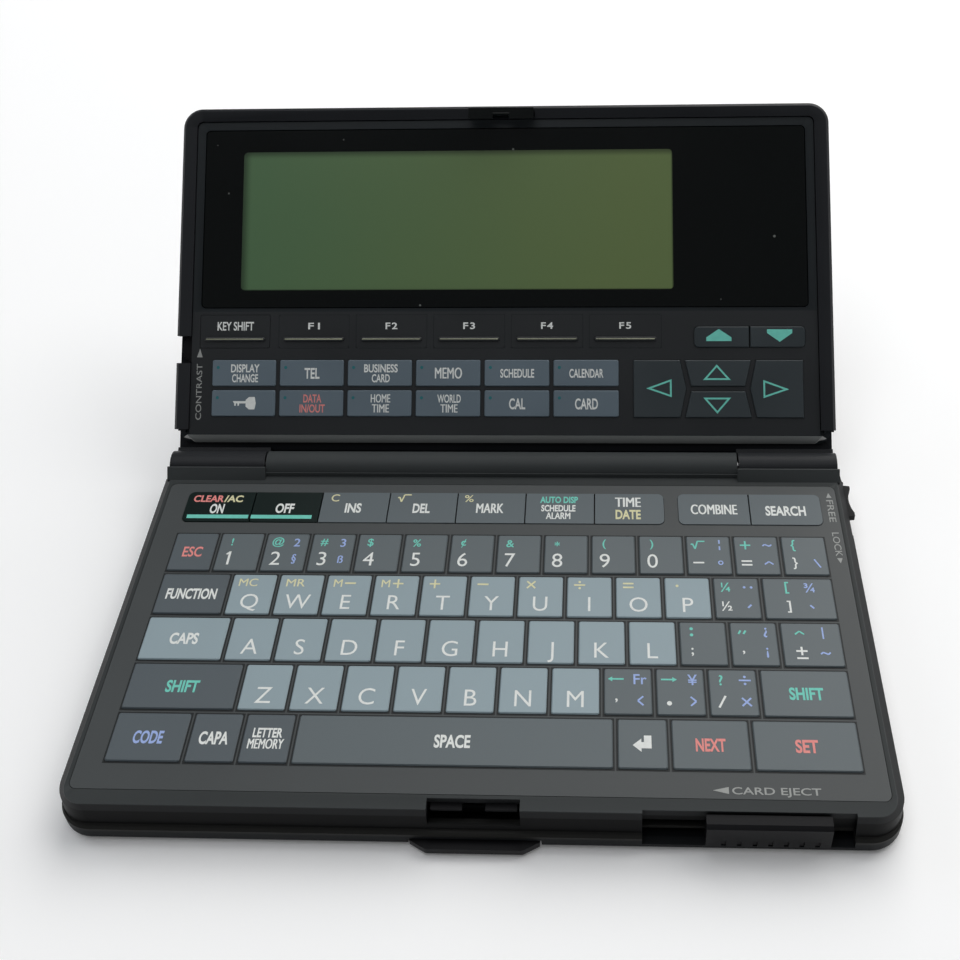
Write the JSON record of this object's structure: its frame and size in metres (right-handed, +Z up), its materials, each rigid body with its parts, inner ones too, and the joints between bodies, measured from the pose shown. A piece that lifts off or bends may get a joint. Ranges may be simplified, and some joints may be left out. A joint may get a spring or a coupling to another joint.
{
  "type": "personal digital assistant",
  "caption": "Clamshell pocket organizer with a full keyboard in its base, a hinged lid carrying a wide monochrome display and function keys, a card slot, and an eject slider.",
  "frame": {"origin": "centre of the keyboard panel, on the surface that the organizer stands on", "axes": "+X to the user's right along the hinge, +Y to the back, +Z up"},
  "size_m": [0.1631, 0.1561, 0.0738],
  "materials": {
    "case_plastic": "glossy black outer shell",
    "deck_plastic": "satin black",
    "panel_sheet": "dark grey sheet",
    "slate_plastic": "dark slate",
    "key_grey": "blue-grey letter keys",
    "key_dark": "dark slate keys",
    "key_black": "black keys",
    "window_black": "glossy printed window",
    "lcd": "grey-green liquid crystal panel",
    "rubber_grey": "silicone and rubber",
    "zebra": "elastomer connector strips",
    "circuit": "green circuit board",
    "chip": "moulded chips",
    "metal": "steel",
    "brass": "brass sleeves and buzzer disc",
    "cable": "amber flex cable"
  },
  "bodies": {
    "base": {"bottom_case": "case_plastic", "top_frame": "deck_plastic", "keyboard_panel": "panel_sheet", "keypad_mat": "rubber_grey", "main_board": "circuit", "main_chips": "chip", "card_guide": "deck_plastic", "card_connector": "deck_plastic", "battery_cover": "case_plastic", "coin_cells": "metal", "battery_contacts": "metal", "case_screws": "metal", "rubber_feet": "rubber_grey", "buzzer": "brass", "data_jack": "metal", "hinge_pins": "metal", "flex_cable": "cable"},
    "lid": {"lid_shell": "case_plastic", "lid_frame": "slate_plastic", "display_window": "window_black", "lcd_glass": "lcd", "lcd_strips": "zebra", "lid_board": "circuit", "lid_screws": "metal", "lid_hook": "window_black", "lid_key_sheet": "panel_sheet", "lid_keypad_mat": "rubber_grey", "hinge_sleeves": "brass"},
    "release_latch": {"release_latch": "key_dark", "latch_spring": "metal"},
    "eject_slider": {"eject_slider": "key_black"},
    "lock_switch": {"lock_switch": "key_black"},
    "contrast_wheel": {"contrast_wheel": "key_black"},
    "key_on": {"key_on": "key_black"},
    "key_off": {"key_off": "key_black"},
    "edit_keys": {"edit_keys": "panel_sheet"},
    "search_keys": {"search_keys": "panel_sheet"},
    "key_esc": {"key_esc": "key_dark"},
    "number_keys": {"number_keys": "key_grey"},
    "symbol_keys": {"symbol_keys": "key_grey"},
    "key_function": {"key_function": "key_dark"},
    "top_letter_keys": {"top_letter_keys": "key_grey"},
    "key_caps": {"key_caps": "key_dark"},
    "middle_letter_keys": {"middle_letter_keys": "key_grey"},
    "key_shift_left": {"key_shift_left": "key_dark"},
    "bottom_letter_keys": {"bottom_letter_keys": "key_grey"},
    "key_shift_right": {"key_shift_right": "key_dark"},
    "code_keys": {"code_keys": "key_dark"},
    "key_space": {"key_space": "key_grey"},
    "key_return": {"key_return": "key_dark"},
    "key_next": {"key_next": "key_dark"},
    "key_set": {"key_set": "key_dark"},
    "key_soft_shift": {"key_soft_shift": "key_dark"},
    "soft_keys": {"soft_keys": "key_dark"},
    "page_keys": {"page_keys": "key_dark"},
    "mode_keys": {"mode_keys": "key_dark"},
    "key_left": {"key_left": "key_dark"},
    "key_right": {"key_right": "key_dark"},
    "key_up": {"key_up": "key_dark"},
    "key_down": {"key_down": "key_dark"}
  },
  "joints": [
    {"name": "lid_hinge", "type": "hinge", "parent": "base", "child": "lid", "pos_m": [0, 0.0443, 0.01], "axis": [1, 0, 0], "range_deg": [0, 134.7]},
    {"name": "release_slide", "type": "slide", "parent": "base", "child": "release_latch", "axis": [0, 1, 0], "range_m": [0, 0.0012], "stiffness_N_per_m": 400, "springref_m": -0.0006, "deforming": ["latch_spring"]},
    {"name": "eject_slide", "type": "slide", "parent": "base", "child": "eject_slider", "axis": [-1, 0, 0], "range_m": [0, 0.0112]},
    {"name": "lock_slide", "type": "slide", "parent": "base", "child": "lock_switch", "axis": [0, -1, 0], "range_m": [0, 0.005]},
    {"name": "contrast_turn", "type": "hinge", "parent": "lid", "child": "contrast_wheel", "pos_m": [-0.0747, 0.06659, 0.02748], "axis": [0, -0.7108, 0.7034], "range_deg": [-135, 135]},
    {"name": "key_on_press", "type": "slide", "parent": "base", "child": "key_on", "axis": [0, 0, -1], "range_m": [0, 0.0004], "stiffness_N_per_m": 600, "springref_m": -0.0004},
    {"name": "key_off_press", "type": "slide", "parent": "base", "child": "key_off", "axis": [0, 0, -1], "range_m": [0, 0.0004], "stiffness_N_per_m": 600, "springref_m": -0.0004},
    {"name": "edit_keys_press", "type": "slide", "parent": "base", "child": "edit_keys", "axis": [0, 0, -1], "range_m": [0, 0.0004], "stiffness_N_per_m": 600, "springref_m": -0.0004},
    {"name": "search_keys_press", "type": "slide", "parent": "base", "child": "search_keys", "axis": [0, 0, -1], "range_m": [0, 0.0004], "stiffness_N_per_m": 600, "springref_m": -0.0004},
    {"name": "key_esc_press", "type": "slide", "parent": "base", "child": "key_esc", "axis": [0, 0, -1], "range_m": [0, 0.0004], "stiffness_N_per_m": 600, "springref_m": -0.0004},
    {"name": "number_keys_press", "type": "slide", "parent": "base", "child": "number_keys", "axis": [0, 0, -1], "range_m": [0, 0.0004], "stiffness_N_per_m": 600, "springref_m": -0.0004},
    {"name": "symbol_keys_press", "type": "slide", "parent": "base", "child": "symbol_keys", "axis": [0, 0, -1], "range_m": [0, 0.0004], "stiffness_N_per_m": 600, "springref_m": -0.0004},
    {"name": "key_function_press", "type": "slide", "parent": "base", "child": "key_function", "axis": [0, 0, -1], "range_m": [0, 0.0004], "stiffness_N_per_m": 600, "springref_m": -0.0004},
    {"name": "top_letter_keys_press", "type": "slide", "parent": "base", "child": "top_letter_keys", "axis": [0, 0, -1], "range_m": [0, 0.0004], "stiffness_N_per_m": 600, "springref_m": -0.0004},
    {"name": "key_caps_press", "type": "slide", "parent": "base", "child": "key_caps", "axis": [0, 0, -1], "range_m": [0, 0.0004], "stiffness_N_per_m": 600, "springref_m": -0.0004},
    {"name": "middle_letter_keys_press", "type": "slide", "parent": "base", "child": "middle_letter_keys", "axis": [0, 0, -1], "range_m": [0, 0.0004], "stiffness_N_per_m": 600, "springref_m": -0.0004},
    {"name": "key_shift_left_press", "type": "slide", "parent": "base", "child": "key_shift_left", "axis": [0, 0, -1], "range_m": [0, 0.0004], "stiffness_N_per_m": 600, "springref_m": -0.0004},
    {"name": "bottom_letter_keys_press", "type": "slide", "parent": "base", "child": "bottom_letter_keys", "axis": [0, 0, -1], "range_m": [0, 0.0004], "stiffness_N_per_m": 600, "springref_m": -0.0004},
    {"name": "key_shift_right_press", "type": "slide", "parent": "base", "child": "key_shift_right", "axis": [0, 0, -1], "range_m": [0, 0.0004], "stiffness_N_per_m": 600, "springref_m": -0.0004},
    {"name": "code_keys_press", "type": "slide", "parent": "base", "child": "code_keys", "axis": [0, 0, -1], "range_m": [0, 0.0004], "stiffness_N_per_m": 600, "springref_m": -0.0004},
    {"name": "key_space_press", "type": "slide", "parent": "base", "child": "key_space", "axis": [0, 0, -1], "range_m": [0, 0.0004], "stiffness_N_per_m": 600, "springref_m": -0.0004},
    {"name": "key_return_press", "type": "slide", "parent": "base", "child": "key_return", "axis": [0, 0, -1], "range_m": [0, 0.0004], "stiffness_N_per_m": 600, "springref_m": -0.0004},
    {"name": "key_next_press", "type": "slide", "parent": "base", "child": "key_next", "axis": [0, 0, -1], "range_m": [0, 0.0004], "stiffness_N_per_m": 600, "springref_m": -0.0004},
    {"name": "key_set_press", "type": "slide", "parent": "base", "child": "key_set", "axis": [0, 0, -1], "range_m": [0, 0.0004], "stiffness_N_per_m": 600, "springref_m": -0.0004},
    {"name": "key_soft_shift_press", "type": "slide", "parent": "lid", "child": "key_soft_shift", "axis": [0, 0.7108, -0.7034], "range_m": [0, 0.0004], "stiffness_N_per_m": 600, "springref_m": -0.0004},
    {"name": "soft_keys_press", "type": "slide", "parent": "lid", "child": "soft_keys", "axis": [0, 0.7108, -0.7034], "range_m": [0, 0.0004], "stiffness_N_per_m": 600, "springref_m": -0.0004},
    {"name": "page_keys_press", "type": "slide", "parent": "lid", "child": "page_keys", "axis": [0, 0.7108, -0.7034], "range_m": [0, 0.0004], "stiffness_N_per_m": 600, "springref_m": -0.0004},
    {"name": "mode_keys_press", "type": "slide", "parent": "lid", "child": "mode_keys", "axis": [0, 0.7108, -0.7034], "range_m": [0, 0.0004], "stiffness_N_per_m": 600, "springref_m": -0.0004},
    {"name": "key_left_press", "type": "slide", "parent": "lid", "child": "key_left", "axis": [0, 0.7108, -0.7034], "range_m": [0, 0.0004], "stiffness_N_per_m": 600, "springref_m": -0.0004},
    {"name": "key_right_press", "type": "slide", "parent": "lid", "child": "key_right", "axis": [0, 0.7108, -0.7034], "range_m": [0, 0.0004], "stiffness_N_per_m": 600, "springref_m": -0.0004},
    {"name": "key_up_press", "type": "slide", "parent": "lid", "child": "key_up", "axis": [0, 0.7108, -0.7034], "range_m": [0, 0.0004], "stiffness_N_per_m": 600, "springref_m": -0.0004},
    {"name": "key_down_press", "type": "slide", "parent": "lid", "child": "key_down", "axis": [0, 0.7108, -0.7034], "range_m": [0, 0.0004], "stiffness_N_per_m": 600, "springref_m": -0.0004}
  ]
}
